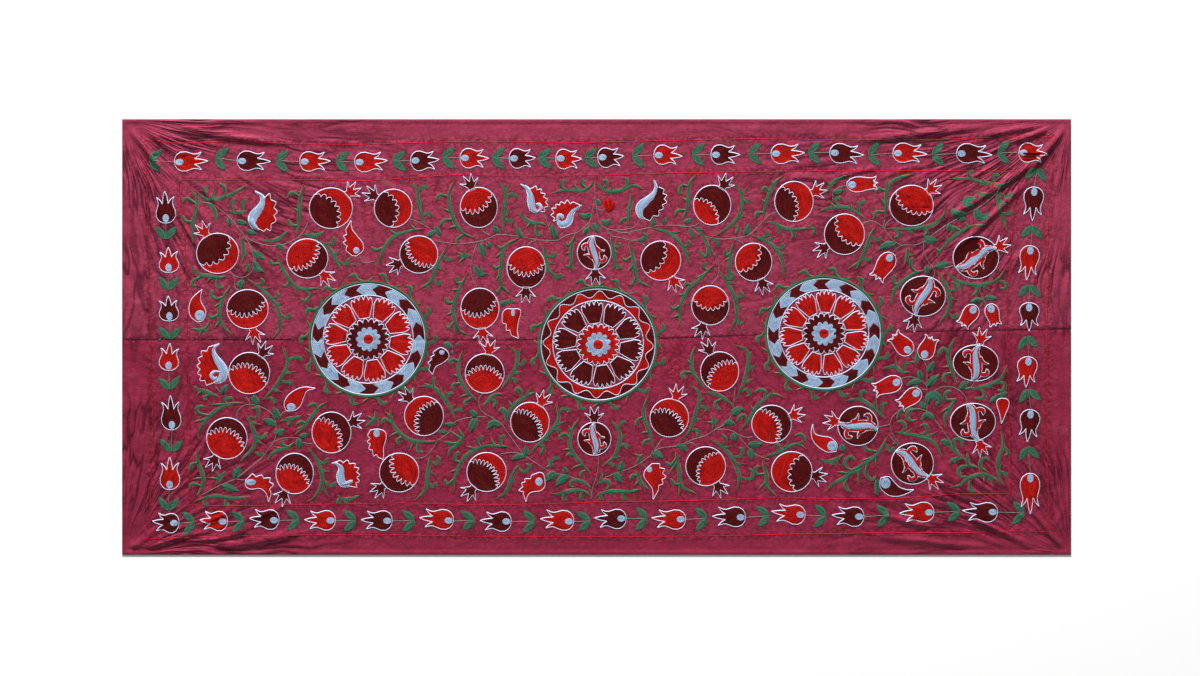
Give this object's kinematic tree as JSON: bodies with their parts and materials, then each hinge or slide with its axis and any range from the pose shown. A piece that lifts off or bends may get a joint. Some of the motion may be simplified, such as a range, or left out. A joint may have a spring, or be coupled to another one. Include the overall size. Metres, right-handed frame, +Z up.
{
  "type": "suzani embroidered textile",
  "caption": "Long satin suzani cloth laid face up, two widths joined along a centre seam, with hemmed edges and pulled corner folds.",
  "frame": {"origin": "middle of the cloth's underside, on the surface it lies on", "axes": "+X along the long side, +Y across the cloth, towards the top of the picture, +Z up out of the embroidered face"},
  "size_m": [2.2, 1.01, 0.008],
  "materials": {
    "satin_upper": "plum red silk satin with a soft directional shine, chain stitched all over",
    "satin_lower": "plum red silk satin with a soft directional shine, chain stitched all over"
  },
  "bodies": {
    "root": {"upper_panel": "satin_upper", "lower_panel": "satin_lower"}
  },
  "joints": []
}
